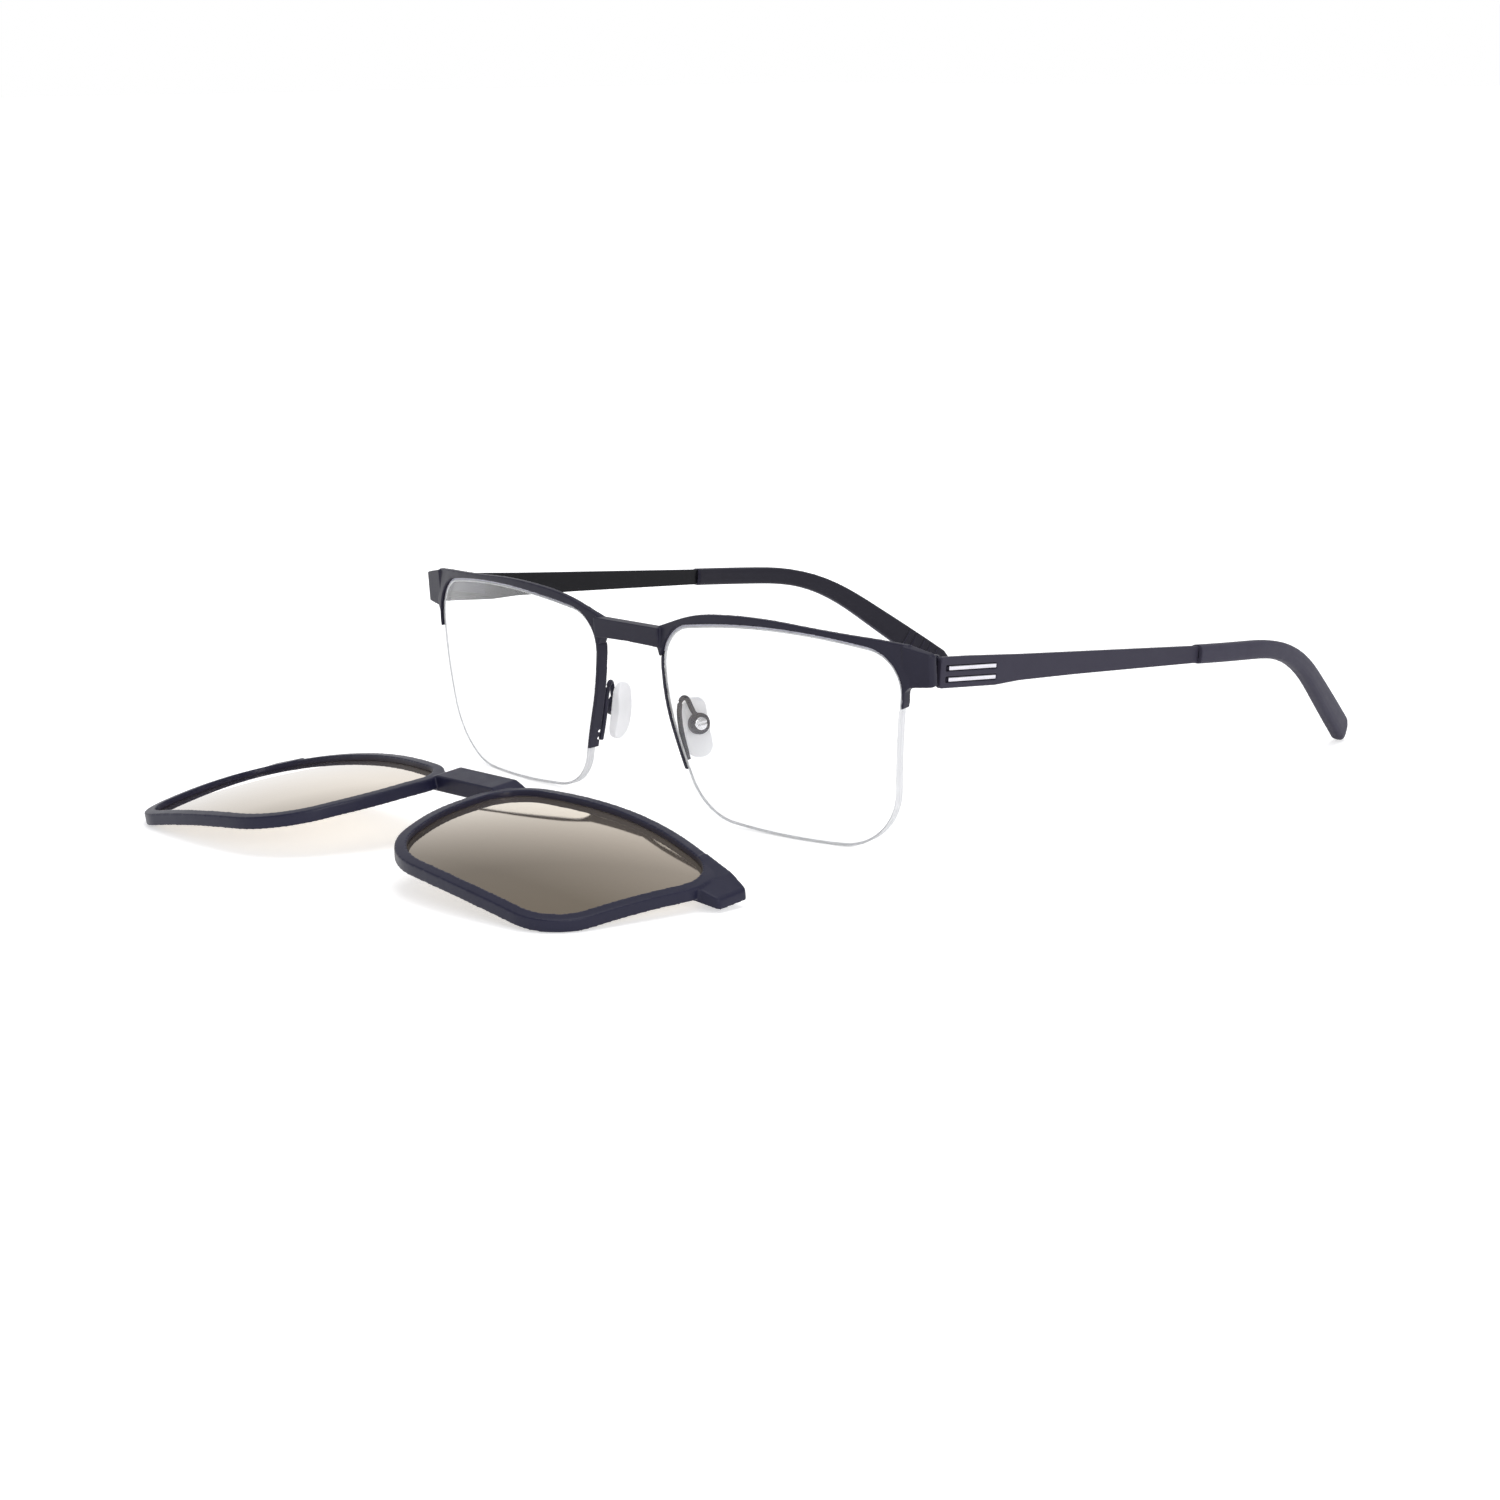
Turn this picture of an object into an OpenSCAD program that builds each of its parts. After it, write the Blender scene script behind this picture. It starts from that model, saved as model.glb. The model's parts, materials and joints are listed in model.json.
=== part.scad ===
// Half-rim eyeglasses with their clip-on sun lenses, standing open on a table. Millimetres.
// +X is the wearer's left, +Y points from the front to the temple tips, +Z is up.
// The origin is on the table, under the middle of the whole set.

/* [Lenses] */
// Width of one lens across its boxing rectangle
lens_w = 54; // [48:0.5:58]
// Height of the lens above its datum line, at the crown of its top edge
lens_rise = 17.2; // [15:0.1:20]
// Depth of the lens below its datum line
lens_drop = 21.5; // [17:0.1:25]
// Distance between the two lenses
bridge_w = 19; // [16:0.5:22]
// Thickness of the clear lenses
lens_t = 1.8; // [1.6:0.1:2.4]
// Radius of the lens surface
lens_r = 126; // [90:1:180]
// Turn of each lens about the vertical, towards the temples
wrap = 7.2; // [3:0.1:10]
// Lean of the front: its lower edge stands further back
tilt = 4.5; // [2:0.1:8]

/* [Front] */
// Depth of the metal front, front to back
front_t = 2; // [1.8:0.1:2.6]
// How far the metal stands proud of the lens surface
front_proud = 0.5; // [0.2:0.1:0.8]
// Height of the brow bar above the lens at the crown
brow_h = 2.1; // [1.6:0.1:3]
// Height of the bridge
bridge_h = 3.5; // [3:0.1:4.5]
// Height of the middle of the bridge above the lens datum
bridge_z = 12.9; // [11:0.1:14]
// Height of the end piece at its outer edge
end_h = 6.2; // [5:0.1:7.5]
// How far the end piece reaches out past the lens
end_out = 6.1; // [5:0.1:8]
// Thickness of the end piece plate
end_t = 1.3; // [1.1:0.1:1.8]
// Thickness of the thin half rim on the nose side
rim_w = 0.7; // [0.6:0.05:1.2]
// Thickness of the white liner under the brow
liner_t = 0.4; // [0.25:0.05:0.6]
// Width of the nylon cord and of its groove in the lens edge
cord_w = 0.6; // [0.4:0.05:0.8]

/* [Nose pads] */
// Height of a nose pad
pad_h = 11.4; // [10:0.1:13]
// Width of a nose pad
pad_w = 5.4; // [4.6:0.1:6.4]
// Thickness of a nose pad at its middle
pad_t = 2; // [1.8:0.1:2.6]
// Turn of the pad's face towards the nose, about the vertical
pad_splay = 17; // [12:1:30]
// Diameter of the bent wire arm
arm_d = 1; // [0.8:0.05:1.1]
// Diameter of the round box that carries the pad
box_d = 4; // [3.4:0.1:4.4]
// Thickness of the pad box
box_t = 1.2; // [0.9:0.1:1.5]
// Diameter of the pad screw
pad_screw_d = 1; // [0.8:0.05:1.2]

/* [Hinges] */
// Height of the stack of three knuckles
knuckle_h = 4.6; // [4:0.1:5.2]
// Diameter of the knuckles
knuckle_d = 2.1; // [1.8:0.05:2.2]
// Diameter of the hinge screw
hinge_screw_d = 1.2; // [0.9:0.05:1.3]
// Radial clearance of the hinge screw in the turning knuckle, and of the pad screw in its insert
run_gap = 0.05; // [0.02:0.01:0.09]
// Gap between turning faces
face_gap = 0.1; // [0.05:0.01:0.2]

/* [Temples] */
// Length of the metal bar, from its front edge to the tip sleeve
bar_len = 71.6; // [65:0.2:80]
// Height of the bar's front block
bar_h = 5.5; // [5:0.1:6.5]
// Height of the bar where it enters the sleeve
bar_end_h = 3.2; // [2.8:0.1:4]
// Thickness of the bar
bar_t = 1.1; // [1:0.05:1.4]
// Fall of the temple towards its tip, in degrees
bar_fall = 5.1; // [3:0.1:8]
// Length of the two polished bars in the front block
trim_len = 12.3; // [10:0.1:14]
// Height of each polished bar
trim_h = 0.8; // [0.6:0.05:1]
// Distance between the middles of the two polished bars
trim_pitch = 2; // [1.6:0.1:2.4]
// Length of the tip sleeve along its bend
tip_len = 74; // [60:1:80]
// Height of the sleeve at its front end
tip_h0 = 3.6; // [3.4:0.1:4.2]
// Height of the sleeve near its end
tip_h1 = 5.3; // [4.6:0.1:6]
// Thickness of the sleeve
tip_t = 3; // [2.6:0.1:3.6]
// Drop of the tip's end below the level, in degrees
tip_drop = 35; // [30:0.1:45]
// Turn of the tip's end towards the head, in degrees
tip_in = 17.4; // [8:1:24]

/* [Clip-on] */
// Depth of the clip-on's rim, front to back
clip_t = 2.2; // [2:0.1:4]
// Width of the clip-on's rim outside the lens outline
clip_rim = 1.8; // [1.4:0.1:2.6]
// Radius of the clip-on's surface, flatter than the lenses
clip_r = 174; // [140:1:240]
// How much narrower the clip-on's lenses are on their outer side
clip_narrow = 0.9; // [0:0.1:1.5]
// How far the rim covers the edge of the tinted lens
clip_lip = 0.3; // [0.2:0.05:0.6]
// Thickness of the tinted lenses
clip_lens_t = 0.9; // [0.8:0.1:1.2]
// How far the tinted lenses lie below the front of the rim
clip_recess = 1.2; // [0.6:0.1:1.3]
// How far the bridge block stands proud of the rim
block_proud = 1; // [0.5:0.1:1.6]
// Diameter of the magnets
magnet_d = 2.4; // [2:0.1:2.8]
// Distance of the lying clip-on from the glasses, datum to datum
clip_away = 51.6; // [45:0.1:65]
// Lean of the lying clip-on
clip_lie = 6.3; // [4:0.1:7]

/* [Hidden] */

half_w = lens_w / 2;
lens_x = half_w + bridge_w / 2;
// Fineness of the large spheres and of small round parts
ball_fn = 180;
round_fn = 48;
small_fn = 24;
cut = 0.01;

// Corners of the lens outline as seen along the lens axis: across, up, radius. Nose side first
lens_corners = [
    [-half_w - 0.6, lens_rise - 2.6, 7.8],
    [-half_w + 0.5, 0.7, 40],
    [-half_w + 7.4, -lens_drop + 1.4, 11.2],
    [half_w * 0.02, -lens_drop - 0.2, 240],
    [half_w - 3, -lens_drop, 13],
    [half_w + 0.8, lens_rise - 3, 7.8],
    [half_w * 0.05, lens_rise + 1.5, 120]];
// The clip-on's opening has the same form, a little softer
clip_corners = [
    [-half_w - 0.4, lens_rise - 2.8, 8],
    [-half_w + 0.6, -3, 33],
    [-half_w + 7, -lens_drop + 1.8, 14.8],
    [0, -lens_drop + 0.2, 157],
    [half_w - 4.3 - clip_narrow, -lens_drop + 1.2, 9.1],
    [half_w + 1.9 - clip_narrow, lens_rise - 3.9, 9.3],
    [1, lens_rise + 1.5, 83]];

function unit(v) = v / norm(v);
function wrapped(i, n) = (i + n) % n;
function edge_normal(a, b) = unit([b[1] - a[1], a[0] - b[0]]);

// Corners of the same outline moved outwards by d, for corners that run anticlockwise
function grow(c, d) = [for (i = [0:len(c) - 1]) let (
    n = len(c),
    before = edge_normal(c[wrapped(i - 1, n)], c[i]),
    after = edge_normal(c[i], c[wrapped(i + 1, n)]),
    move = d * (before + after) / (1 + before * after))
    [c[i][0] + move[0], c[i][1] + move[1], c[i][2] + d]];

// Points of an outline with every corner rounded to its own radius, in steps that keep within sag
sag = 0.012;
function arc_steps(turn, r) = let (step = 2 * acos(1 - sag / max(r, 2 * sag)))
    max(2, ceil(abs(turn) / min(10, step)));
function rounded(c) = [for (i = [0:len(c) - 1]) let (
    n = len(c),
    p = [c[i][0], c[i][1]],
    q0 = c[wrapped(i - 1, n)],
    q1 = c[wrapped(i + 1, n)],
    a = unit([q0[0], q0[1]] - p),
    b = unit([q1[0], q1[1]] - p),
    half = acos(a * b) / 2,
    r = max(0.01, c[i][2]),
    centre = p + unit(a + b) * r / sin(half),
    t0 = p + a * r / tan(half) - centre,
    t1 = p + b * r / tan(half) - centre,
    a0 = atan2(t0[1], t0[0]),
    turn0 = atan2(t1[1], t1[0]) - a0,
    turn = turn0 > 180 ? turn0 - 360 : (turn0 < -180 ? turn0 + 360 : turn0),
    m = arc_steps(turn, r))
    for (k = [0:m]) centre + r * [cos(a0 + turn * k / m), sin(a0 + turn * k / m)]];

function lens_outline(d) = rounded(grow(lens_corners, d));

// How far back in the front a lens point lies, on the surface a depth behind the lens face
function curve(p, q, behind, r = lens_r) = r - sqrt(pow(r - behind, 2) - p * p - q * q);
function front_back(p, q, behind = 0, r = lens_r) = p * sin(wrap) + curve(p, q, behind, r) * cos(wrap);
// The same point as seen from above: across and back
function front_point(p, q, behind, r = lens_r) = [
    lens_x + p * cos(wrap) - curve(p, q, behind, r) * sin(wrap), front_back(p, q, behind, r)];

// The lens edge rests on the table, so it sets the height of the datum line
front_z = -min([for (c = lens_outline(0)) c[1] * cos(tilt) + front_back(c[0], c[1]) * sin(tilt)]);

module at_front() {
    translate([0, set_y, front_z]) rotate([tilt, 0, 0]) children();
}
module on_side(side) {
    mirror([side < 0 ? 1 : 0, 0, 0]) children();
}
module at_lens() {
    translate([lens_x, 0, 0]) rotate([0, 0, wrap]) children();
}
// A flat shape, drawn across and up, given depth from y0 to y1
module slab(y0, y1) {
    translate([0, y1, 0]) rotate([90, 0, 0]) linear_extrude(y1 - y0) children();
}
// The space between two depths behind the lens surface
module shell(d0, d1, r = lens_r) {
    translate([0, r, 0]) difference() {
        sphere(r - d0, $fn = ball_fn);
        sphere(r - d1, $fn = ball_fn);
    }
}
module lens_band(inner, outer, d0, d1) {
    intersection() {
        shell(d0, d1);
        slab(-8, 16) difference() {
            polygon(lens_outline(outer));
            polygon(lens_outline(inner));
        }
    }
}

// Front: metal brow, bridge and end pieces
rim_top = bridge_z - bridge_h;
stub_end = 5.2;
end_x = half_w + end_out;
end_mid = 12.3;
brow_top = lens_rise + brow_h;
// How far the brow reaches behind the bridge bar, and how far the end piece reaches into the brow
brow_in = half_w + 3.6;
end_join = 0.6;
function brow_corners(lower) = [
    [-half_w - 0.9, rim_top, 0.05],
    [-half_w + 6, rim_top, 0.05],
    [-half_w + 12, 0, 1],
    [half_w - 6, 0, 1],
    [half_w - 6, stub_end, 0.05],
    [half_w + 0.6, stub_end, 0.2],
    [half_w + 0.8, stub_end + 1.1, 0.2],
    [half_w + 0.9, end_mid - end_h / 2 - 1, 0.4],
    [half_w + end_join + 1, end_mid - end_h / 2 - 0.3, 0.2],
    [half_w + end_join + 1, end_mid + end_h / 2 + 1.1 - lower, 0.3],
    [half_w - 4.4, brow_top - 2.1 - lower, 60],
    [-half_w + 23, brow_top + 0.1 - lower, 100],
    [-half_w + 8.5, brow_top - 1.1 - lower, 38],
    [-half_w - 1.6, bridge_z + bridge_h / 2 - lower, 5],
    [-brow_in, bridge_z + 1.2 - lower, 0.3],
    [-brow_in, bridge_z - 1, 0.3],
    [-half_w - 1.5, bridge_z - bridge_h / 2 - 0.3, 0.6]];

// The rear half of the brow is a step lower than the front half
brow_step = 0.6;
module brow_layer(d0, d1, lower) {
    intersection() {
        shell(d0, d1);
        slab(-8, 20) difference() {
            polygon(rounded(brow_corners(lower)));
            polygon(lens_outline(liner_t));
        }
    }
}
module brow_half() {
    middle = front_t * 0.5 - front_proud;
    brow_layer(-front_proud, middle, 0);
    brow_layer(middle - cut, front_t - front_proud, brow_step);
}
bridge_y = -0.9;
module bridge_bar() {
    bar_x = bridge_w / 2 - 0.6;
    slab(bridge_y, bridge_y + front_t) polygon([
        [-bar_x, bridge_z - bridge_h / 2 - 0.2], [0, bridge_z - bridge_h / 2],
        [bar_x, bridge_z - bridge_h / 2 - 0.2], [bar_x, bridge_z + bridge_h / 2],
        [-bar_x, bridge_z + bridge_h / 2]]);
}
// The end piece as seen from above: it leaves the lens curve and sweeps back a little to its edge
end_out_x = lens_x + end_x - 0.4;
end_front = front_point(half_w + end_join, end_mid, -front_proud);
end_rear = front_point(half_w + end_join, end_mid, front_t - front_proud);
end_sweep = 1.42;
end_out_y = end_front[1] + end_sweep;
module end_plate() {
    intersection() {
        translate([0, 0, -30]) linear_extrude(60) polygon([
            end_front, [end_out_x - 0.5, end_out_y - 0.1],
            [end_out_x, end_out_y + 0.4], [end_out_x, end_out_y + end_t], end_rear]);
        slab(-5, 20) polygon(rounded([
            [end_rear[0] - 0.2, end_mid - end_h / 2 - 0.3, 0.1],
            [end_out_x, end_mid - end_h / 2 + 0.2, 0.6],
            [end_out_x, end_mid + end_h / 2 - 0.2, 0.8],
            [end_rear[0] - 0.2, end_mid + end_h / 2 + 1.1, 0.1]]));
    }
}
magnet_x = 3;
magnet_wall = 0.5;
module bridge_magnet_holes(grow_d) {
    for (side = [-1, 1])
        translate([side * magnet_x, bridge_y + magnet_wall, bridge_z]) rotate([-90, 0, 0])
            cylinder(h = front_t - magnet_wall + grow_d, d = magnet_d, $fn = round_fn);
}
module brow_frame() {
    color("#3d3c47") at_front() difference() {
        union() {
            for (side = [-1, 1]) on_side(side) {
                at_lens() brow_half();
                end_plate();
            }
            bridge_bar();
        }
        bridge_magnet_holes(1);
    }
}
module bridge_magnets() {
    color("#8d8f94") at_front() bridge_magnet_holes(0);
}

// Thin half rim on the nose side, with two holes for the cord
rim_end = -10.9;
hole_d = 0.6;
module inner_rim(side) {
    color("#2f2e38") at_front() on_side(side) at_lens() difference() {
        intersection() {
            lens_band(0, rim_w, -0.1, front_t - 0.1);
            slab(-8, 16) polygon([[-half_w - 3, rim_top], [-half_w - 3, rim_end],
                [-half_w + 8, rim_end - 1], [-half_w + 8, rim_top]]);
        }
        for (up = [1.1, 2.6])
            translate([-half_w, curve(half_w, 10, front_t / 2), rim_end + up]) rotate([0, 90, 0])
                cylinder(h = 9, d = hole_d, $fn = small_fn);
    }
}
// White liner in the brow, above the lens
module brow_liner(side) {
    color("#ececf6") at_front() on_side(side) at_lens() intersection() {
        lens_band(0, liner_t, 0.2, front_t - front_proud);
        slab(-8, 16) polygon([[-half_w - 3, rim_top], [-half_w + 8, rim_top], [0, 0],
            [half_w - 4, stub_end], [half_w + 3, stub_end], [half_w + 3, brow_top + 2],
            [-half_w - 3, brow_top + 2]]);
    }
}
// Clear lens with a groove in its edge, and the nylon cord in the groove
groove_d = (lens_t - cord_w) / 2;
module clear_lens(side) {
    color([0.93, 0.95, 0.97, 0.35]) at_front() on_side(side) at_lens() difference() {
        intersection() {
            shell(0, lens_t);
            slab(-8, 16) polygon(lens_outline(0));
        }
        lens_band(-cord_w, 1, groove_d, groove_d + cord_w);
    }
}
module lens_cord(side) {
    color("#f4f4f6") at_front() on_side(side) at_lens() intersection() {
        lens_band(-cord_w, 0, groove_d, groove_d + cord_w);
        slab(-8, 16) polygon([[-half_w - 3, rim_end], [-half_w + 14, rim_end + 4],
            [half_w - 14, stub_end], [half_w + 3, stub_end], [half_w + 3, -lens_drop - 5],
            [-half_w - 3, -lens_drop - 5]]);
    }
}

// Tubes swept along a list of points: rings of round section, closed at both ends
function across(t) = unit(cross(t, abs(t[2]) < 0.9 ? [0, 0, 1] : [1, 0, 0]));
function ring(c, t, d, sides) = let (u = across(t), v = cross(t, u))
    [for (k = [0:sides - 1]) c + d / 2 * (cos(360 * k / sides) * u + sin(360 * k / sides) * v)];
function tangent(path, i) = unit(path[min(len(path) - 1, i + 1)] - path[max(0, i - 1)]);
function skin_faces(rings, sides) = concat(
    [[for (k = [0:sides - 1]) k]],
    [for (i = [0:rings - 2], k = [0:sides - 1], half = [0, 1]) let (
        a = i * sides + k, b = i * sides + (k + 1) % sides)
        half == 0 ? [a, a + sides, b] : [b, a + sides, b + sides]],
    [[for (k = [sides - 1:-1:0]) (rings - 1) * sides + k]]);
// A smooth curve through hand-chosen points
function between(p, i, t) = let (
    a = p[max(0, i - 1)], b = p[i], c = p[i + 1], d = p[min(len(p) - 1, i + 2)])
    0.5 * (2 * b + (c - a) * t + (2 * a - 5 * b + 4 * c - d) * t * t
        + (3 * b - a - 3 * c + d) * t * t * t);
function smooth(p, steps) = concat(
    [for (i = [0:len(p) - 2], k = [0:steps - 1]) between(p, i, k / steps)], [p[len(p) - 1]]);
module tube(path, d, sides) {
    points = [for (i = [0:len(path) - 1]) each ring(path[i], tangent(path, i), d, sides)];
    polyhedron(points, skin_faces(len(path), sides));
}

// Nose pad: the screw's axis runs through the pad box, square to the pad's face
rim_back = front_back(-half_w, rim_end, front_t - 0.1);
pad_at = [bridge_w / 2 + 1.1, rim_back + 4.25, -4.5];
pad_lean = 10;
pad_low = 0.8;
module at_pad() {
    // x points from the pad box to the nose, z runs up the pad
    translate(pad_at) rotate([0, 0, 180 - pad_splay]) rotate([0, pad_lean, 0]) children();
}
pad_back = -pad_t / 2;
module pad_box() {
    translate([pad_back - face_gap - box_t, 0, 0]) rotate([0, 90, 0]) difference() {
        cylinder(h = box_t, d = box_d, $fn = round_fn);
        translate([0, 0, -cut]) cylinder(h = box_t + 2 * cut, d = pad_screw_d + 0.02, $fn = small_fn);
    }
}
// Points of the bent arm in the front: from its foot behind the half rim, up, over and down to the box
arm_route = [
    [3.2, 0.2, -10.2], [2.5, 0.27, -8], [1.7, 0.32, -5.2], [1.2, 0.5, -2.2], [1, 1, -0.1],
    [1.1, 1.7, 0.9], [1.45, 2.4, 0.6], [1.75, 2.75, -0.6], [2.1, 3.05, -1.8], [2.45, 3.4, -2.6]];
module pad_arm(side) {
    route = [for (p = arm_route) [p[0] + bridge_w / 2, p[1] + rim_back, p[2]]];
    color("#34333d") at_front() on_side(side) {
        tube(smooth(route, 3), arm_d, 8);
        at_pad() pad_box();
    }
}
pad_head_d = 2.4;
pad_head_t = 0.5;
insert_t = 0.9;
module pad_screw(side) {
    shank = box_t + face_gap + insert_t - 0.1;
    color("#c9cace") at_front() on_side(side) at_pad()
        translate([pad_back - face_gap - box_t, 0, 0]) rotate([0, 90, 0]) difference() {
            union() {
                translate([0, 0, -pad_head_t]) cylinder(h = pad_head_t, d = pad_head_d, $fn = round_fn);
                translate([0, 0, -cut]) cylinder(h = shank + cut, d = pad_screw_d, $fn = small_fn);
            }
            translate([0, 0, -pad_head_t]) cube([0.35, pad_head_d + 1, 0.5], center = true);
        }
}
insert_d = 3;
// Corners of the pad's outline: front to back, up, radius
pad_corners = [
    [-pad_w / 2, -pad_h / 2 + 0.3 - pad_low, pad_w * 0.42],
    [pad_w / 2, -pad_h / 2 - pad_low, pad_w * 0.48],
    [pad_w / 2 - 0.5, pad_h / 2 - pad_low, pad_w * 0.38],
    [-pad_w / 2 + 0.5, pad_h / 2 - pad_low, pad_w * 0.38]];
module nose_pad(side) {
    crown = pad_h * 1.6;
    color([0.94, 0.94, 0.96, 0.6]) at_front() on_side(side) at_pad() difference() {
        intersection() {
            translate([pad_back, 0, 0]) rotate([90, 0, 90]) linear_extrude(pad_t)
                polygon(rounded(pad_corners));
            translate([pad_t / 2 - crown, 0, -pad_low]) sphere(crown, $fn = 96);
        }
        translate([pad_back - cut, 0, 0]) rotate([0, 90, 0])
            cylinder(h = insert_t + cut, d = insert_d, $fn = round_fn);
    }
}
module pad_insert(side) {
    color([0.85, 0.85, 0.88, 0.8]) at_front() on_side(side) at_pad()
        translate([pad_back, 0, 0]) rotate([0, 90, 0]) difference() {
            cylinder(h = insert_t, d = insert_d, $fn = round_fn);
            translate([0, 0, -cut])
                cylinder(h = insert_t + 2 * cut, d = pad_screw_d + 2 * run_gap, $fn = small_fn);
        }
}

// Hinge: its axis is upright, just inside the bar
bar_x = end_out_x;
bar_gap = 1;
end_back = end_out_y + end_t;
bar_y = end_back * cos(tilt) - end_mid * sin(tilt) + bar_gap;
bar_z = front_z + end_mid * cos(tilt) + end_back * sin(tilt) - 0.2;
hinge_x = bar_x - bar_t - 0.15 - knuckle_d / 2;
hinge_y = bar_y + 0.6;
hinge_z = bar_z - 0.4;
side_h = (knuckle_h - 2 * face_gap) * 0.3;
mid_h = knuckle_h - 2 * side_h - 2 * face_gap;
module at_hinge() {
    translate([hinge_x, set_y + hinge_y, hinge_z]) children();
}
module knuckle(z0, h, bore_d) {
    translate([0, 0, z0]) difference() {
        cylinder(h = h, d = knuckle_d, $fn = round_fn);
        translate([0, 0, -cut]) cylinder(h = h + 2 * cut, d = bore_d, $fn = round_fn);
    }
}
module hinge_leaf(side) {
    // Two arms reach forward from the outer knuckles to the back of the end piece
    arm_back = hinge_y - (end_back - 1.4);
    color("#2b2a31") on_side(side) difference() {
        at_hinge() for (z0 = [-knuckle_h / 2, knuckle_h / 2 - side_h]) {
            knuckle(z0, side_h, hinge_screw_d + 0.02);
            translate([0, 0, z0]) difference() {
                translate([-knuckle_d / 2, -arm_back, 0]) cube([knuckle_d, arm_back, side_h]);
                translate([0, 0, -cut])
                    cylinder(h = side_h + 2 * cut, d = knuckle_d - 0.02, $fn = round_fn);
            }
        }
        translate([0, set_y, front_z]) rotate([tilt, 0, 0]) translate([0, 0, -30]) linear_extrude(60)
            polygon([[end_rear[0], end_front[1] - 4], [end_out_x + 2, end_out_y - 4],
                [end_out_x + 2, end_out_y + end_t], [end_out_x, end_out_y + end_t], end_rear]);
    }
}
screw_head_t = 0.5;
module hinge_screw(side) {
    color("#b9babf") on_side(side) at_hinge() difference() {
        union() {
            translate([0, 0, -knuckle_h / 2])
                cylinder(h = knuckle_h + cut, d = hinge_screw_d, $fn = round_fn);
            translate([0, 0, knuckle_h / 2])
                cylinder(h = screw_head_t, d = knuckle_d - 0.2, $fn = round_fn);
        }
        translate([0, 0, knuckle_h / 2 + screw_head_t]) cube([knuckle_d, 0.35, 0.5], center = true);
    }
}
leaf_t = 0.9;
leaf_len = 9;
leaf_h = 3.6;
module temple_leaf(side) {
    reach = bar_x - bar_t - hinge_x;
    color("#2b2a31") on_side(side) at_hinge() {
        knuckle(-mid_h / 2, mid_h, hinge_screw_d + 2 * run_gap);
        translate([0, 0, -mid_h / 2]) difference() {
            translate([reach - leaf_t, 0, 0]) cube([leaf_t, knuckle_d, mid_h]);
            translate([0, 0, -cut])
                cylinder(h = mid_h + 2 * cut, d = knuckle_d - 0.02, $fn = round_fn);
        }
        translate([reach - leaf_t, knuckle_d, 0]) rotate([-bar_fall, 0, 0])
            translate([0, 0, -leaf_h / 2]) cube([leaf_t, leaf_len, leaf_h]);
    }
}

// Temple: drawn along its fall, from its front edge
module at_temple() {
    translate([bar_x, set_y + bar_y, bar_z]) rotate([-bar_fall, 0, 0]) children();
}
block_len = 14.6;
block_shift = -0.4;
trim_start = 2.2;
trim_low = -0.65;
trim_depth = 0.8;
slot_play = 0.12;
// The bar's upper edge runs nearly straight, the lower edge steps up behind the block
module bar_profile() {
    low = -bar_h / 2 + block_shift;
    high = bar_h / 2 + block_shift;
    polygon(rounded([
        [0, low, 0.6], [block_len, low, 7], [block_len + 6.5, low + 0.55, 16],
        [bar_len * 0.5, low + 0.95, 150], [bar_len, -bar_end_h / 2, 0.1], [bar_len, bar_end_h / 2, 0.1],
        [bar_len * 0.3, high - 0.3, 200], [block_len * 0.5, high - 0.02, 60], [0, high, 0.6]]));
}
module trim_boxes(extra, before) {
    for (up = [-trim_pitch / 2, trim_pitch / 2])
        translate([-trim_depth, trim_start - before, trim_low + up - trim_h / 2 - extra])
            cube([trim_depth + (extra > 0 ? 1 : 0), trim_len + before + extra, trim_h + 2 * extra]);
}
module temple(side) {
    color("#3a3945") on_side(side) at_temple() difference() {
        translate([-bar_t, 0, 0]) rotate([90, 0, 90]) linear_extrude(bar_t) bar_profile();
        trim_boxes(slot_play, 0.9);
    }
}
module trim_bars(side) {
    color("#d9dade") on_side(side) at_temple() trim_boxes(0, 0);
}

// Sleeve: its middle line bends down and in with an even start and finish
bend_start = 16;
bend_len = 34;
swell_start = 26;
swell_len = 44;
tip_steps = 24;
path_steps = 148;
function ease(t) = t * t * (3 - 2 * t);
function bend_part(s) = ease(min(1, max(0, (s - bend_start) / bend_len)));
function tip_dir(s) = let (
    down = (tip_drop - bar_fall) * bend_part(s),
    inward = tip_in * min(1, s / (bend_start + bend_len)))
    [-sin(inward) * cos(down), cos(inward) * cos(down), -sin(down)];
function tip_path(from, to, n, at) = [for (
    i = 0, p = at;
    i <= n;
    p = p + tip_dir(from + (to - from) * (i + 0.5) / n) * (to - from) / n, i = i + 1) p];
sleeve_path = tip_path(0, tip_len, path_steps, [-bar_t / 2, bar_len, 0]);
tip_end = sleeve_path[path_steps];
function tip_height(s) = let (t = min(1, max(0, (s - swell_start) / swell_len)))
    tip_h0 + (tip_h1 - tip_h0) * ease(t);
// Rounded section, sides thick and high, square to the middle line
function oval(c, dir, thick, high, sides) = let (
    u = unit(cross([0, 0, 1], dir)),
    v = cross(dir, u))
    [for (k = [0:sides - 1]) let (
        a = 360 * (k + 0.5) / sides,
        soft = 0.62,
        cx = sign(cos(a)) * pow(abs(cos(a)), soft),
        cz = sign(sin(a)) * pow(abs(sin(a)), soft))
        c + thick / 2 * cx * u + high / 2 * cz * v];
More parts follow.
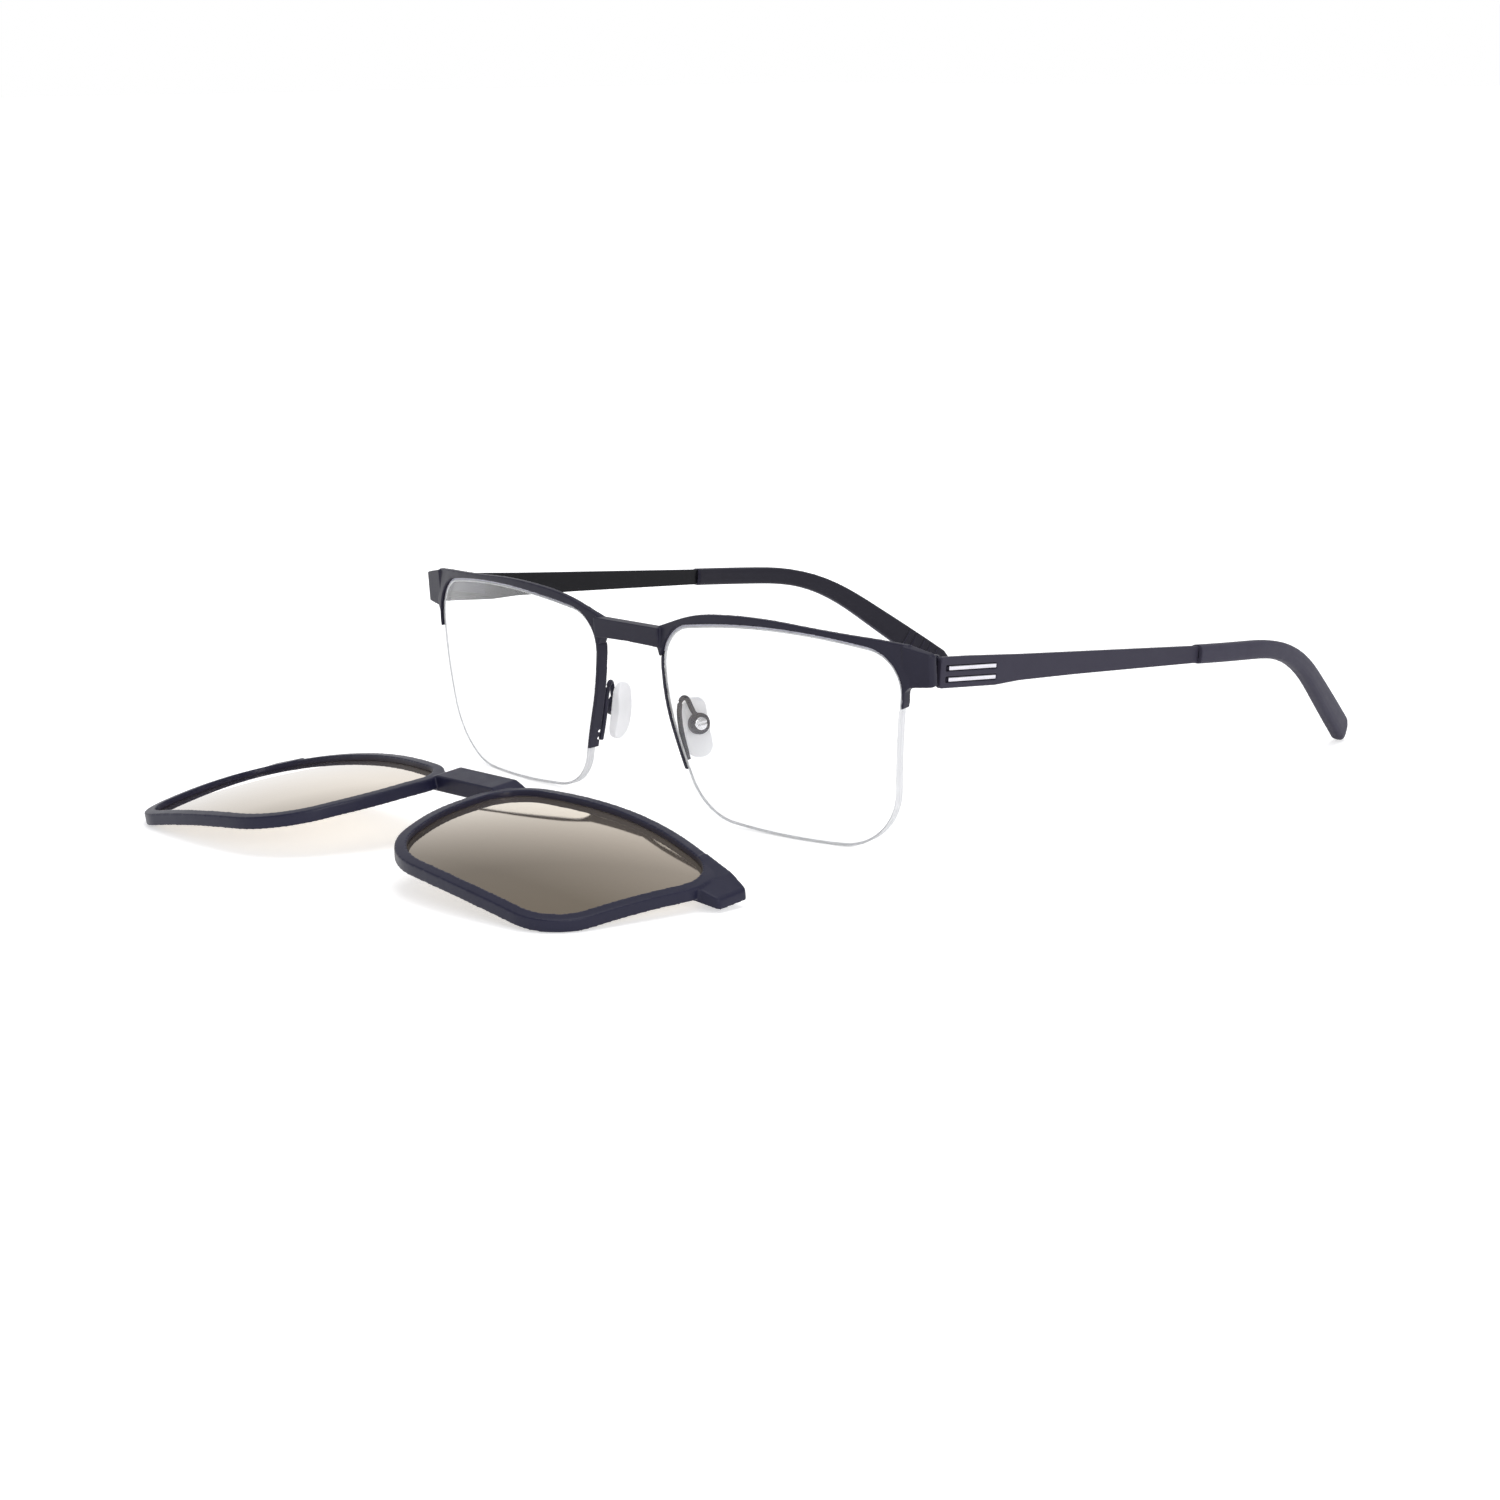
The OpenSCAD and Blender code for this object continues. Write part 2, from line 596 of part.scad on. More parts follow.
// How much the section shrinks towards the rounded end of the sleeve
end_round = 2.6;
function end_size(s) = s > tip_len - end_round
    ? sqrt(max(0.09, 1 - pow((s - tip_len + end_round) / end_round, 2))) : 1;
function tip_stations() = concat(
    [for (i = [0:tip_steps]) (tip_len - end_round) * i / tip_steps],
    [for (a = [35, 65, 88]) tip_len - end_round + end_round * sin(a)]);
sleeve_sides = 16;
module sleeve_body() {
    stations = tip_stations();
    count = len(stations);
    spots = [for (s = stations) let (j = s / tip_len * path_steps, k = min(path_steps - 1, floor(j)))
        sleeve_path[k] + (sleeve_path[k + 1] - sleeve_path[k]) * (j - k)];
    points = [for (i = [0:count - 1]) each oval(spots[i], tip_dir(stations[i]),
        tip_t * end_size(stations[i]), tip_height(stations[i]) * end_size(stations[i]), sleeve_sides)];
    polyhedron(points, skin_faces(count, sleeve_sides));
}
core_d = 1.3;
core_len = 58;
module core_body(d) {
    steps = 20;
    path = tip_path(0, core_len, steps, [-bar_t / 2, bar_len, 0]);
    points = [for (i = [0:steps])
        each oval(path[i], tip_dir(core_len * i / steps), d * 0.8, d * 1.2, 8)];
    polyhedron(points, skin_faces(steps + 1, 8));
}
groove_pitch = 2.1;
groove_cut = 0.5;
module grip_grooves() {
    for (i = [0:4]) {
        s = tip_len - 5 - groove_pitch * i;
        translate(sleeve_path[round(s / tip_len * path_steps)])
            rotate([0, 0, tip_in]) rotate([bar_fall - tip_drop, 0, 0])
                translate([-tip_t / 2 - 1 + groove_cut, 0, 0])
                    cube([2, 0.7, tip_h1 + 2], center = true);
    }
}
module temple_tip(side) {
    color("#3c3b45") on_side(side) at_temple() difference() {
        sleeve_body();
        core_body(core_d);
        grip_grooves();
    }
}
module core_wire(side) {
    color("#9a9ba0") on_side(side) at_temple() core_body(core_d);
}

// Clip-on: it lies on the table with its lowest point touching
function clip_back(c) = front_back(c[0], c[1], clip_t, clip_r);
function clip_outline(d) = rounded(grow(clip_corners, d));
clip_lift = -min([for (c = clip_outline(clip_rim)) -clip_back(c) * cos(clip_lie) + c[1] * sin(clip_lie)]);

// The origin is midway between the clip-on's near edge and the ends of the tips
clip_reach = min([for (c = clip_outline(clip_rim))
    front_back(c[0], c[1], 0, clip_r) * sin(clip_lie) + c[1] * cos(clip_lie)]);
tip_reach = bar_y + tip_end[1] * cos(bar_fall) + tip_end[2] * sin(bar_fall);
set_y = -(tip_reach + clip_reach - clip_away) / 2;

// Drawn as it sits on the glasses, its datum on the front of its rim
dock_gap = 0.3;
dock_y = -(clip_t + front_proud + dock_gap);
clip_tab_x = lens_x + end_x - 2.2;
tab_gap = 0.55;
block_back = bridge_y - dock_y - dock_gap;
module at_clip() {
    translate([0, set_y - clip_away, clip_lift]) rotate([clip_lie - 90, 0, 0]) children();
}
// Corners of the clip-on's bridge block and end tabs, across and up
block_top = bridge_z + 3.6;
block_low = bridge_z - 1.8;
module clip_block() {
    // Raised middle, sloping down to the rims on both sides
    intersection() {
        translate([0, 0, -30]) linear_extrude(60) polygon([
            [-11.6, 0.2], [-7.7, -block_proud - 0.3], [7.7, -block_proud - 0.3], [11.6, 0.2],
            [11.6, clip_t - 0.2], [10, block_back], [-10, block_back], [-11.6, clip_t - 0.2]]);
        slab(-5, 20) polygon(rounded([
            [-12.4, block_top - 0.4, 0.5], [-13.4, block_low - 0.5, 0.4], [-9.2, block_low - 0.6, 2],
            [9.2, block_low - 0.6, 2], [13.4, block_low - 0.5, 0.4], [12.4, block_top - 0.4, 0.5],
            [7.5, block_top, 3], [-7.5, block_top, 3]]));
    }
}
// The tab runs on from the rim's front surface and ends a gap before the front's end piece
tab_in = front_point(half_w - 7, end_mid, 0, clip_r);
tab_mid = front_point(half_w + 0.5, end_mid, 0, clip_r);
tab_slope = (end_out_y - end_front[1]) / (end_out_x - 0.5 - end_front[0]);
tab_rear = end_out_y - dock_y - tab_gap - tab_slope * (end_out_x - clip_tab_x);
module clip_tab() {
    intersection() {
        translate([0, 0, -30]) linear_extrude(60) polygon([
            [tab_in[0], tab_in[1] + 0.1], tab_mid, [clip_tab_x - 0.6, tab_rear - 2.2],
            [clip_tab_x, tab_rear - 1.7], [clip_tab_x, tab_rear], [tab_in[0], tab_in[1] + clip_t]]);
        slab(-5, 20) polygon(rounded([
            [tab_in[0], end_mid - end_h / 2 - 5, 0.4], [tab_mid[0] - 0.4, end_mid - end_h / 2 - 2.8, 2],
            [clip_tab_x, end_mid - end_h / 2 - 1, 0.8], [clip_tab_x, end_mid + end_h / 2 - 0.7, 0.8],
            [tab_in[0], end_mid + end_h / 2 + 1.2, 0.4]]));
    }
}
clip_magnet_t = 1.4;
module clip_magnet_holes(extra) {
    for (side = [-1, 1]) {
        translate([side * magnet_x, block_back - clip_magnet_t, bridge_z]) rotate([-90, 0, 0])
            cylinder(h = clip_magnet_t + extra, d = magnet_d, $fn = round_fn);
    }
}
module clip_frame() {
    color("#3b3b4d") at_clip() difference() {
        union() {
            for (side = [-1, 1]) on_side(side) {
                at_lens() clip_rim_body();
                clip_tab();
            }
            clip_block();
        }
        for (side = [-1, 1]) on_side(side) at_lens() {
            clip_glass();
            slab(-8, 30) polygon(clip_outline(-clip_lip));
        }
        clip_magnet_holes(1);
        // Room for the bridge between the rims
        translate([-bridge_w / 2, block_back, bridge_z - bridge_h / 2 - 0.5])
            cube([bridge_w, clip_t, bridge_h + 1]);
    }
}
module clip_rim_body() {
    intersection() {
        shell(0, clip_t, clip_r);
        slab(-8, 16) difference() {
            polygon(clip_outline(clip_rim));
            polygon(clip_outline(-clip_lip));
        }
    }
}
module clip_glass() {
    intersection() {
        shell(clip_recess, clip_recess + clip_lens_t, clip_r);
        slab(-8, 16) polygon(clip_outline(clip_lip));
    }
}
module clip_lens(side) {
    color([0.62, 0.56, 0.5, 0.9]) at_clip() on_side(side) at_lens() clip_glass();
}
module clip_magnets() {
    color("#8d8f94") at_clip() clip_magnet_holes(0);
}

brow_frame();
inner_rim(1);  // inner_rim_left
inner_rim(-1);  // inner_rim_right
brow_liner(1);  // brow_liner_left
brow_liner(-1);  // brow_liner_right
clear_lens(1);  // lens_left
clear_lens(-1);  // lens_right
lens_cord(1);  // lens_cord_left
lens_cord(-1);  // lens_cord_right
pad_arm(1);  // pad_arm_left
pad_arm(-1);  // pad_arm_right
pad_screw(1);  // pad_screw_left
pad_screw(-1);  // pad_screw_right
hinge_leaf(1);  // hinge_leaf_left
hinge_leaf(-1);  // hinge_leaf_right
hinge_screw(1);  // hinge_screw_left
hinge_screw(-1);  // hinge_screw_right
bridge_magnets();
nose_pad(1);  // nose_pad_left
nose_pad(-1);  // nose_pad_right
pad_insert(1);  // pad_insert_left
pad_insert(-1);  // pad_insert_right
temple(1);  // temple_left
temple(-1);  // temple_right
temple_leaf(1);  // temple_leaf_left
temple_leaf(-1);  // temple_leaf_right
trim_bars(1);  // trim_bars_left
trim_bars(-1);  // trim_bars_right
temple_tip(1);  // temple_tip_left
temple_tip(-1);  // temple_tip_right
core_wire(1);  // core_wire_left
core_wire(-1);  // core_wire_right
clip_frame();
clip_lens(1);  // clip_lens_left
clip_lens(-1);  // clip_lens_right
clip_magnets();
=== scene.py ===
import json
import math

import bmesh
import bpy
from mathutils import Matrix, Vector

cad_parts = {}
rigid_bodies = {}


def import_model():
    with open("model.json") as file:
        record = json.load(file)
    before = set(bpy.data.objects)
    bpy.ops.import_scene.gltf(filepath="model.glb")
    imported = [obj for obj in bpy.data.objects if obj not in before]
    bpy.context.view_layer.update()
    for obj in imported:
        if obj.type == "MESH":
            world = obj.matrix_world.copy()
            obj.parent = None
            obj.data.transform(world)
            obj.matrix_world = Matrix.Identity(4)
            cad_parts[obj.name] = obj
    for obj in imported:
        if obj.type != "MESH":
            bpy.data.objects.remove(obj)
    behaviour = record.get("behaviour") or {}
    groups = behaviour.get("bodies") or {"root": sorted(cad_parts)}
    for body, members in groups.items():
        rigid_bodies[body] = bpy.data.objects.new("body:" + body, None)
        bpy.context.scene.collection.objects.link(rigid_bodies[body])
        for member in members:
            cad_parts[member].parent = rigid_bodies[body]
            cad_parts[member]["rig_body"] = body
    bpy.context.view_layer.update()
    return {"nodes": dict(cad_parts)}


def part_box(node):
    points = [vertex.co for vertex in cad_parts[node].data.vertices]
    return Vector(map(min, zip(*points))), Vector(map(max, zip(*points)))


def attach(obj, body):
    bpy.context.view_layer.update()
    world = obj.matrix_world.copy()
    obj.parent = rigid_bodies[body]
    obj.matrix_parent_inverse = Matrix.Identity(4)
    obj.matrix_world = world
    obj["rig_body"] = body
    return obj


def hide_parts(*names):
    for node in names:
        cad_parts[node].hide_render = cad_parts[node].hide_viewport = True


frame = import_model()

MM = 0.001
scene = bpy.context.scene
cad = frame["nodes"]
SIDES = ("left", "right")
LENS_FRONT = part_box("lens_left")[0].y
CLIP_LOW, CLIP_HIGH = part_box("clip_frame")


def linked(name, data):
    """A new object in the scene."""
    made = bpy.data.objects.new(name, data)
    scene.collection.objects.link(made)
    return made


# Camera: stands to the wearer's left of the front, a little above it
AZIMUTH = math.radians(45.94)
ELEVATION = math.radians(11.78)
ROLL = math.radians(-0.4)
DISTANCE = 660.5 * MM
ASIDE = Vector((-6.9, -14.0)) * MM
LENS_MM = 81.45
SENSOR_MM = 36
AIM = Vector((0, LENS_FRONT + 41.2 * MM, 19.8 * MM))


def add_camera():
    """Looks past the aim point by ASIDE, measured across and up the picture."""
    flat = math.cos(ELEVATION)
    back = Vector((math.sin(AZIMUTH) * flat, -math.cos(AZIMUTH) * flat, math.sin(ELEVATION)))
    right = Vector((math.cos(AZIMUTH), math.sin(AZIMUTH), 0))
    up = back.cross(right)
    across = right * math.cos(ROLL) + up * math.sin(ROLL)
    above = up * math.cos(ROLL) - right * math.sin(ROLL)
    data = bpy.data.cameras.new("camera")
    data.lens = LENS_MM
    data.sensor_width = SENSOR_MM
    data.clip_start = 10 * MM
    data.clip_end = 50
    camera = linked("camera", data)
    turn = Matrix((across, above, back)).transposed().to_4x4()
    place = AIM + across * ASIDE.x + above * ASIDE.y + back * DISTANCE
    camera.matrix_world = Matrix.Translation(place) @ turn
    scene.camera = camera


# Where the lenses stand and how they are curved, as in the part's source. Millimetres
LENS_R = 126
LENS_T = 1.8
CORD_W = 0.6
CLIP_R = 174
CLIP_RECESS = 1.2
CLIP_LENS_T = 0.9
CLIP_GROW = 0.28
LINER_T = 0.4
LENS_X = 36.5
WRAP = math.radians(7.2)
FRONT_AT = (0, -35.9527, 21.3148)
FRONT_TILT = math.radians(4.5)
CLIP_AT = (0, -87.5527, 9.4688)
CLIP_TILT = math.radians(-83.7)
# Heights on the lens: ends of the brow's stub, of the liner and of the half rim
STUB_END = 5.2
RIM_TOP = 9.4
RIM_END = -10.9
AT_LENS = Matrix.Translation((LENS_X, 0, 0)) @ Matrix.Rotation(WRAP, 4, "Z")
AT_FRONT = Matrix.Translation(FRONT_AT) @ Matrix.Rotation(FRONT_TILT, 4, "X") @ AT_LENS
AT_CLIP = Matrix.Translation(CLIP_AT) @ Matrix.Rotation(CLIP_TILT, 4, "X") @ AT_LENS


# Corners of the two outlines: across, up, radius
LENS = [(-27.6, 14.6, 7.8), (-26.5, 0.7, 40), (-19.6, -20.1, 11.2), (0.54, -21.7, 240),
        (24, -21.5, 13), (27.8, 14.2, 7.8), (1.35, 18.7, 120)]
CLIP_LENS = [(-27.4, 14.4, 8), (-26.4, -3, 33), (-20, -19.7, 14.8), (0, -21.3, 157),
             (21.8, -20.3, 9.1), (28, 13.3, 9.3), (1, 18.7, 83)]
OUTLINE_STEP = 0.8
ARC_PARTS = 40


def lens_outline(corners):
    """Points of the rounded outline with their outward normals, evenly close together."""
    dense = []
    for i, (x, y, radius) in enumerate(corners):
        spot = Vector((x, y))
        a = (Vector(corners[i - 1][:2]) - spot).normalized()
        b = (Vector(corners[(i + 1) % len(corners)][:2]) - spot).normalized()
        half = a.angle(b) / 2
        centre = spot + (a + b).normalized() * radius / math.sin(half)
        first = spot + a * radius / math.tan(half) - centre
        last = spot + b * radius / math.tan(half) - centre
        turn = first.angle(last)
        for k in range(ARC_PARTS + 1):
            dense.append(centre + Matrix.Rotation(turn * k / ARC_PARTS, 2) @ first)
    closed = dense + dense[:1]
    ends = [0.0]
    for p, q in zip(closed, closed[1:]):
        ends.append(ends[-1] + (q - p).length)
    count = int(ends[-1] / OUTLINE_STEP)
    spots, k = [], 0
    for i in range(count):
        want = ends[-1] * i / count
        while ends[k + 1] < want:
            k += 1
        part = (want - ends[k]) / max(1e-9, ends[k + 1] - ends[k])
        spots.append(closed[k].lerp(closed[k + 1], part))
    rows = []
    for i, p in enumerate(spots):
        along = spots[(i + 1) % count] - spots[i - 1]
        rows.append((p, Vector((along.y, -along.x)).normalized()))
    return rows


def on_surface(p, behind, radius):
    """A point of the outline at a depth behind the curved front."""
    return Vector((p.x, radius - math.sqrt((radius - behind) ** 2 - p.x ** 2 - p.y ** 2), p.y))


# Materials
class Nodes:
    """A node tree and short ways to add nodes to it."""

    def __init__(self, tree):
        self.tree = tree

    def node(self, kind, **values):
        made = self.tree.nodes.new(kind)
        for key, value in values.items():
            if hasattr(made, key):
                setattr(made, key, value)
            else:
                made.inputs[key.replace("_", " ")].default_value = value
        return made

    def link(self, out, socket):
        self.tree.links.new(out, socket)

    def rays(self, *kinds):
        """1 for a ray of any of the kinds, else 0."""
        path = self.node("ShaderNodeLightPath")
        total = path.outputs[kinds[0]]
        for kind in kinds[1:]:
            either = self.node("ShaderNodeMath", operation="ADD", use_clamp=True)
            self.link(total, either.inputs[0])
            self.link(path.outputs[kind], either.inputs[1])
            total = either.outputs["Value"]
        return total


class Shader(Nodes):
    """A Principled material."""

    def __init__(self, name, **sockets):
        self.material = bpy.data.materials.new(name)
        self.material.use_nodes = True
        super().__init__(self.material.node_tree)
        self.base = self.tree.nodes["Principled BSDF"]
        for socket, value in sockets.items():
            self.set(socket.replace("_", " "), value)

    def set(self, socket, value):
        self.base.inputs[socket].default_value = value

    def feed(self, socket, out):
        self.link(out, self.base.inputs[socket])

    def fed(self, socket):
        """What a socket is linked to now."""
        return self.base.inputs[socket].links[0].from_socket

    def place(self):
        return self.node("ShaderNodeTexCoord").outputs["Object"]

    def noise(self, per_metre, detail=3.0):
        noise = self.node("ShaderNodeTexNoise", Scale=per_metre, Detail=detail)
        self.link(self.place(), noise.inputs["Vector"])
        return noise.outputs["Fac"]

    def spread(self, value, low, high):
        """Maps 0..1 to low..high."""
        span = self.node("ShaderNodeMapRange", To_Min=low, To_Max=high)
        self.link(value, span.inputs["Value"])
        return span.outputs["Result"]

    def mixer(self, factor):
        mixer = self.node("ShaderNodeMix", data_type="RGBA")
        self.link(factor, mixer.inputs[0])
        ends = [s for s in mixer.inputs if s.type == "RGBA"]
        return ends, next(s for s in mixer.outputs if s.type == "RGBA")

    def mix(self, factor, first, second):
        """Mixes two plain colours."""
        ends, out = self.mixer(factor)
        ends[0].default_value = (*first, 1)
        ends[1].default_value = (*second, 1)
        return out

    def blend(self, factor, first, second):
        """Mixes the colours of two other nodes."""
        ends, out = self.mixer(factor)
        self.link(first, ends[0])
        self.link(second, ends[1])
        return out

    def bump(self, height, depth, strength):
        bump = self.node("ShaderNodeBump", Strength=strength, Distance=depth)
        self.link(height, bump.inputs["Height"])
        self.feed("Normal", bump.outputs["Normal"])


# Noise scales, in repeats to a metre
PATCHES = 180
SHEEN = 420
GRAIN = 9000
DRAWN = 2500.0


def painted(name, low, high, rough=(0.38, 0.5), depth=0.012 * MM, ior=1.4):
    """Matt paint or moulded plastic: faint patches of colour and a fine grain."""
    shader = Shader(name, IOR=ior)
    shader.feed("Base Color", shader.mix(shader.noise(PATCHES), low, high))
    shader.feed("Roughness", shader.spread(shader.noise(SHEEN), *rough))
    shader.bump(shader.noise(GRAIN, 2.0), depth, 0.5)
    return shader


def metal(name, low, high, rough=(0.18, 0.3), stretch=(1, 1, 1)):
    """Bright metal with fine drawing marks along the stretched axis."""
    shader = Shader(name, Metallic=1.0)
    scale = shader.node("ShaderNodeMapping")
    scale.inputs["Scale"].default_value = stretch
    shader.link(shader.place(), scale.inputs["Vector"])
    marks = shader.node("ShaderNodeTexNoise", Scale=DRAWN, Detail=3.0)
    shader.link(scale.outputs["Vector"], marks.inputs["Vector"])
    shader.feed("Base Color", shader.mix(marks.outputs["Fac"], low, high))
    shader.feed("Roughness", shader.spread(marks.outputs["Fac"], *rough))
    shader.bump(marks.outputs["Fac"], 0.004 * MM, 0.4)
    return shader


def clear(name, tint, deep, rough, ior=1.5, through=1.0):
    """Clear or milky glass and plastic, hardly tinted."""
    shader = Shader(name, IOR=ior, Transmission_Weight=through)
    shader.feed("Base Color", shader.mix(shader.noise(60), tint, deep))
    shader.feed("Roughness", shader.spread(shader.noise(300), *rough))
    return shader


def two_sided(shader, low, high, rough):
    """Gives the side that faces the head its own colours and roughness.

    It is told apart by the world direction of the surface, so it holds for the unfolded temple.
    """
    normal = shader.node("ShaderNodeNewGeometry").outputs["Normal"]
    facing, spot = (shader.node("ShaderNodeSeparateXYZ") for _ in range(2))
    shader.link(normal, facing.inputs["Vector"])
    shader.link(shader.place(), spot.inputs["Vector"])
    outward = shader.node("ShaderNodeMath", operation="MULTIPLY")
    shader.link(facing.outputs["X"], outward.inputs[0])
    shader.link(spot.outputs["X"], outward.inputs[1])
    ramp = shader.node("ShaderNodeMapRange", From_Min=-8 * MM, From_Max=-30 * MM)
    shader.link(outward.outputs["Value"], ramp.inputs["Value"])
    inner = ramp.outputs["Result"]
    own = shader.mix(shader.noise(PATCHES), low, high)
    shader.feed("Base Color", shader.blend(inner, shader.fed("Base Color"), own))
    rougher = shader.node("ShaderNodeMix", data_type="FLOAT")
    shader.link(inner, rougher.inputs[0])
    shader.link(shader.fed("Roughness"), rougher.inputs[2])
    rougher.inputs[3].default_value = rough
    shader.feed("Roughness", rougher.outputs[0])
    shader.set("Specular IOR Level", 0.22)
    return shader


def painted_edge_highlight(shader, colour):
    """Painted highlight: lightens what faces down on a piece, as on the clip-on's lower edge where it lies.
    """
    facing = shader.node("ShaderNodeSeparateXYZ")
    shader.link(shader.node("ShaderNodeTexCoord").outputs["Normal"], facing.inputs["Vector"])
    edge = shader.node("ShaderNodeMapRange", From_Min=-0.45, From_Max=-0.8)
    shader.link(facing.outputs["Z"], edge.inputs["Value"])
    light = shader.mix(shader.noise(PATCHES), colour, [c * 1.15 for c in colour])
    shader.feed("Base Color", shader.blend(edge.outputs["Result"], shader.fed("Base Color"), light))
    return shader


def mirror_tint():
    """Mirror coating, pale at the lenses' top edge and dark brown at the lower edge, on a slant."""
    shader = Shader("mirror_tint", Metallic=0.88, Coat_Weight=1.0, Coat_Roughness=0.02)
    parts = shader.node("ShaderNodeSeparateXYZ")
    shader.link(shader.place(), parts.inputs["Vector"])
    slant = shader.node("ShaderNodeMath", operation="MULTIPLY_ADD")
    slant.inputs[1].default_value = -0.2
    shader.link(parts.outputs["X"], slant.inputs[0])
    shader.link(parts.outputs["Y"], slant.inputs[2])
    pale_at = CLIP_HIGH.y - 10 * MM
    dark_at = CLIP_LOW.y + 1 * MM
    down = shader.node("ShaderNodeMapRange", From_Min=pale_at, From_Max=dark_at)
    shader.link(slant.outputs["Value"], down.inputs["Value"])
    shader.feed("Base Color", shader.mix(down.outputs["Result"], (0.80, 0.68, 0.52), (0.32, 0.255, 0.17)))
    shader.feed("Roughness", shader.spread(shader.noise(80), 0.03, 0.06))
    return shader


FRONT = painted("front_paint", (0.015, 0.014, 0.028), (0.021, 0.020, 0.038), rough=(0.34, 0.46), ior=1.31)
# The clip-on's plastic, with a painted highlight on its down-facing edges
CLIP = painted_edge_highlight(
    painted("clip_plastic", (0.010, 0.010, 0.028), (0.015, 0.015, 0.038), rough=(0.32, 0.44), ior=1.34),
    (0.09, 0.09, 0.125))
TIP = two_sided(
    painted("tip_plastic", (0.042, 0.039, 0.060), (0.052, 0.049, 0.073), rough=(0.5, 0.62), depth=0.02 * MM),
    (0.014, 0.013, 0.020), (0.020, 0.019, 0.028), 0.5)
TEMPLE = two_sided(painted("temple_paint", (0.036, 0.033, 0.052), (0.044, 0.041, 0.062), ior=1.36),
                   (0.005, 0.005, 0.007), (0.008, 0.008, 0.010), 0.22)
LINER = painted("liner_nylon", (0.82, 0.82, 0.95), (0.88, 0.88, 0.98), rough=(0.25, 0.35))
CORD = painted("cord_nylon", (0.78, 0.78, 0.80), (0.85, 0.85, 0.87), rough=(0.3, 0.4))
CLEAR = clear("lens_clear", (0.985, 0.99, 0.995), (0.99, 0.995, 1.0), rough=(0.0, 0.004))
GROUND = clear("lens_edge", (0.88, 0.89, 0.90), (0.92, 0.93, 0.94), rough=(0.5, 0.6), through=0.2)
PAD = clear("pad_silicone", (0.96, 0.96, 0.98), (0.98, 0.98, 0.99), rough=(0.3, 0.42), ior=1.41, through=0.2)
INSERT = clear("pad_insert", (0.80, 0.80, 0.83), (0.88, 0.88, 0.90), rough=(0.2, 0.3), through=0.4)
# Painted light: the nose pads glow faintly white, so they look whiter than their lighting makes them
PAD.set("Emission Color", (1, 1, 1, 1))
PAD.set("Emission Strength", 0.07)
STEEL = metal("screw_steel", (0.62, 0.62, 0.64), (0.74, 0.74, 0.76))
TRIM = metal("trim_steel", (0.52, 0.51, 0.56), (0.78, 0.77, 0.82), rough=(0.16, 0.28), stretch=(1, 0.12, 1))
CORE = metal("core_steel", (0.5, 0.5, 0.52), (0.58, 0.58, 0.6))
MAGNET = metal("magnet_nickel", (0.5, 0.49, 0.47), (0.6, 0.59, 0.56))
MIRROR = mirror_tint()


# Pieces
WELD = 0.002 * MM
FACES_KEPT = 0.5
FLAT = math.radians(2)
SHARP = math.radians(30)
CREASE = math.radians(28)


def wear(obj, shader):
    obj.data.materials.clear()
    obj.data.materials.append(shader.material)


def take_place(piece, node):
    """Puts a piece in the place of a CAD node, on the same body."""
    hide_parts(node)
    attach(piece, cad[node]["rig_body"])


def softened(node, shader, voxel, passes):
    """The CAD node again with its sharp edges rounded: remeshed finely, relaxed and thinned out."""
    mesh = cad[node].data.copy()
    weld = bmesh.new()
    weld.from_mesh(mesh)
    bmesh.ops.remove_doubles(weld, verts=weld.verts, dist=WELD)
    weld.to_mesh(mesh)
    weld.free()
    work = linked(node + ".soft", mesh)
    remesh = work.modifiers.new("remesh", "REMESH")
    remesh.mode = "VOXEL"
    remesh.voxel_size = voxel
    smooth = work.modifiers.new("smooth", "SMOOTH")
    smooth.factor = 0.5
    smooth.iterations = passes
    thin = work.modifiers.new("thin", "DECIMATE")
    thin.ratio = FACES_KEPT
    view = bpy.context.evaluated_depsgraph_get()
    final = bpy.data.meshes.new_from_object(work.evaluated_get(view))
    work.modifiers.clear()
    work.data = final
    for face in final.polygons:
        face.use_smooth = True
    wear(work, shader)
    take_place(work, node)


def bevelled(node, shader, width):
    """The CAD node again with every edge broken by a small bevel."""
    mesh = cad[node].data.copy()
    edit = bmesh.new()
    edit.from_mesh(mesh)
    bmesh.ops.remove_doubles(edit, verts=edit.verts, dist=WELD)
    bmesh.ops.dissolve_limit(edit, angle_limit=FLAT, verts=edit.verts, edges=edit.edges)
    sharp = [e for e in edit.edges if len(e.link_faces) == 2 and e.calc_face_angle() > SHARP]
    bmesh.ops.bevel(edit, geom=sharp, offset=width, segments=3, affect="EDGES", profile=0.5)
    edit.to_mesh(mesh)
    edit.free()
    for face in mesh.polygons:
        face.use_smooth = True
    piece = linked(node + ".edge", mesh)
    wear(piece, shader)
    take_place(piece, node)


def add_piece(name, node, mesh, *shaders):
    """A made piece in the place of a CAD node. Its faces' material numbers follow the shaders."""
    for shader in shaders:
        mesh.materials.append(shader.material)
    take_place(linked(name, mesh), node)


